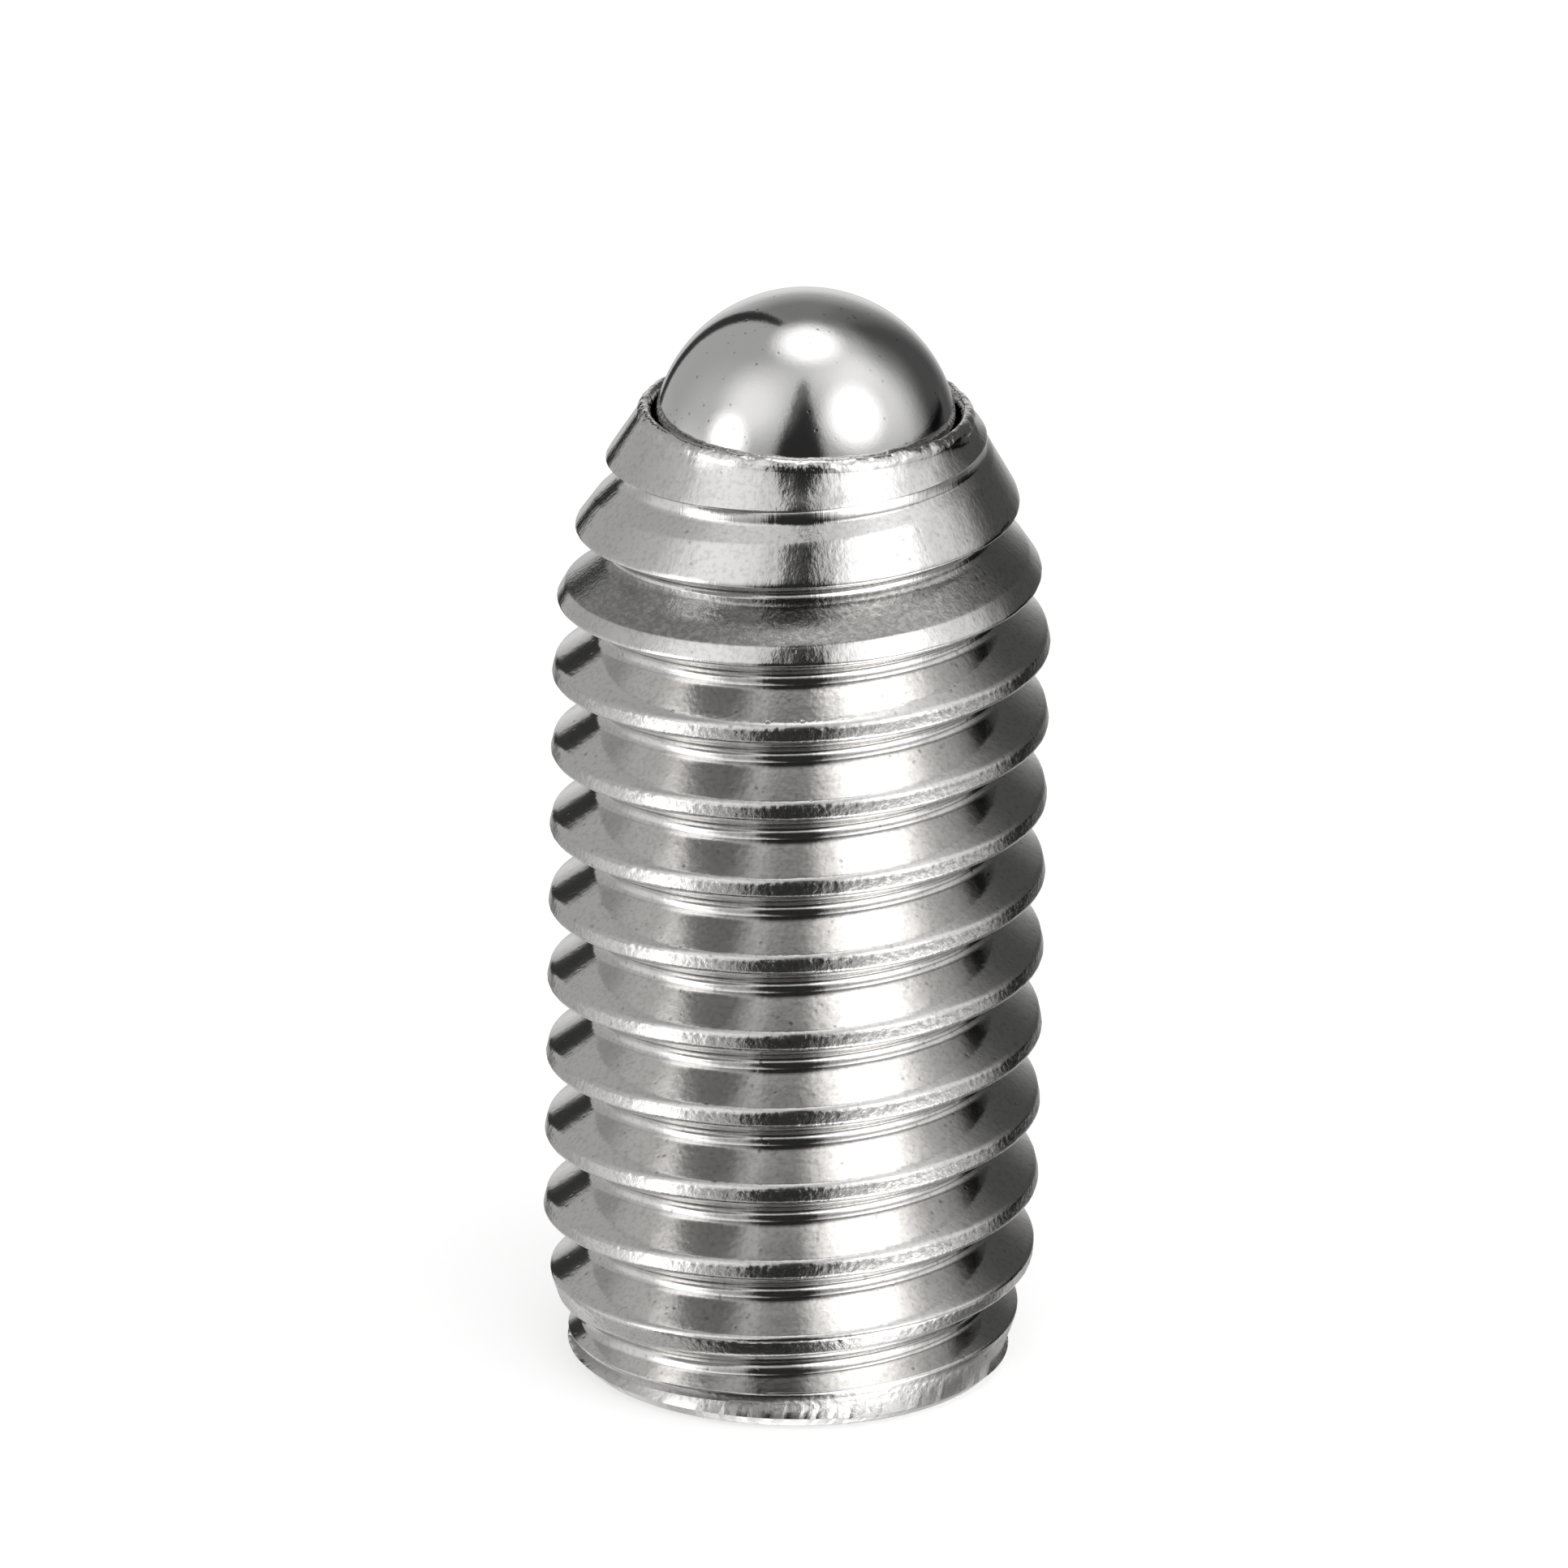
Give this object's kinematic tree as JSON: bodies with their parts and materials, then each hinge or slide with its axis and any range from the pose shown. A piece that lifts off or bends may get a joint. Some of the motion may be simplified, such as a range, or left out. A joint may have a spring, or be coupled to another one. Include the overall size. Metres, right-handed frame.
{
  "type": "spring plunger",
  "caption": "Small stainless spring plunger: a headless right-hand threaded body with a hex socket, and a ball that a spring presses out of its crimped nose.",
  "frame": {"origin": "centre of the flat socket end", "axes": "+Z along the thread's axis, from the socket end to the ball"},
  "size_m": [0.0049, 0.0049, 0.011],
  "materials": {
    "body_steel": "turned and rolled stainless steel, satin flanks, speckled crests and a rough crimped rim",
    "ball_steel": "ground and polished stainless steel",
    "spring_steel": "drawn stainless spring wire"
  },
  "bodies": {
    "housing": {"threaded_body": "body_steel"},
    "spring_end": {"spring": "spring_steel"},
    "ball": {"ball": "ball_steel"}
  },
  "joints": [
    {"name": "ball_press", "type": "slide", "parent": "housing", "child": "spring_end", "axis": [0, 0, -1], "range_m": [0, 0.0009], "stiffness_N_per_m": 5500, "springref_m": -0.0011, "deforming": ["spring"]},
    {"name": "ball_roll", "type": "hinge", "parent": "spring_end", "child": "ball", "pos_m": [0, 0, 0.00955], "axis": [0, 1, 0], "continuous": true}
  ]
}
